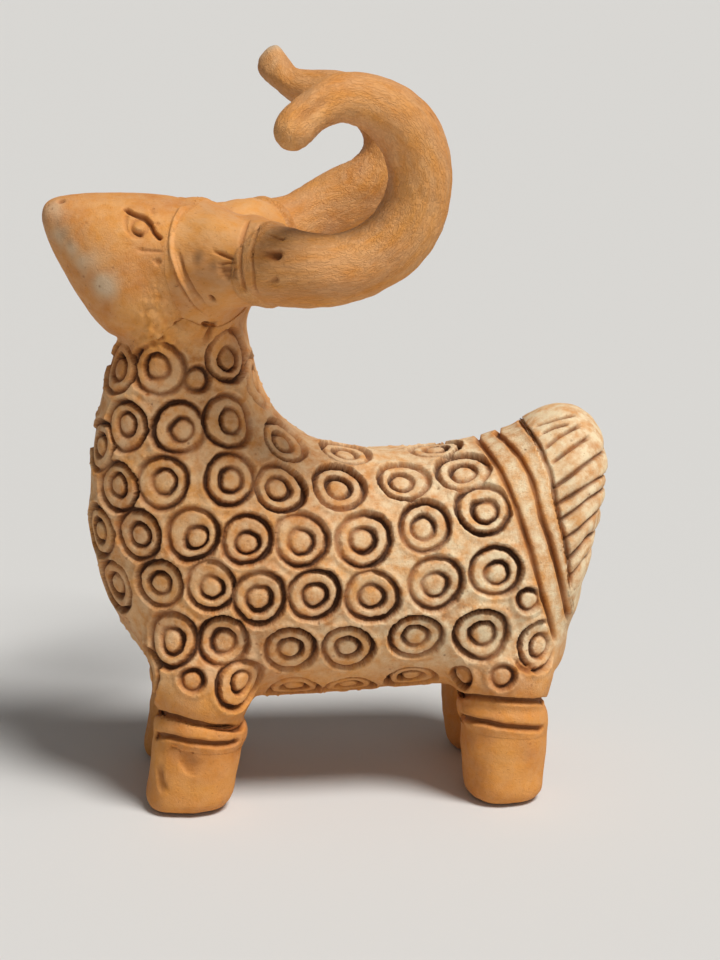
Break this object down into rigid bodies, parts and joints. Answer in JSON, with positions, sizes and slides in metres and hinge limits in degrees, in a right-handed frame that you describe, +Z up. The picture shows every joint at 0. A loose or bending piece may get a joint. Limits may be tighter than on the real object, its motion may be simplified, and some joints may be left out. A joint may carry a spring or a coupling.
{
  "type": "horned animal figurine",
  "caption": "Hand-built terracotta figurine of a standing horned animal with a raised head, curling horns, a long ring-stamped trunk, corded ankles and a fluted tail.",
  "frame": {"origin": "on the ground under the middle of the figurine's overall box", "axes": "+Z up; the animal looks along -X; its left side, the one pictured, faces -Y"},
  "size_m": [0.1018, 0.0914, 0.1342],
  "materials": {
    "buff_clay": "unglazed low-fired clay with a pale wash, matt, worn on the high spots",
    "ochre_clay": "unglazed low-fired orange clay, matt, finger-smoothed"
  },
  "bodies": {
    "root": {"body": "buff_clay", "tail": "buff_clay", "front_left_leg": "ochre_clay", "front_right_leg": "ochre_clay", "hind_left_leg": "ochre_clay", "hind_right_leg": "ochre_clay", "front_left_anklet": "ochre_clay", "front_right_anklet": "ochre_clay", "hind_left_anklet": "ochre_clay", "hind_right_anklet": "ochre_clay", "head": "ochre_clay", "left_horn": "ochre_clay", "right_horn": "ochre_clay", "left_horn_collar": "ochre_clay", "right_horn_collar": "ochre_clay"}
  },
  "joints": []
}
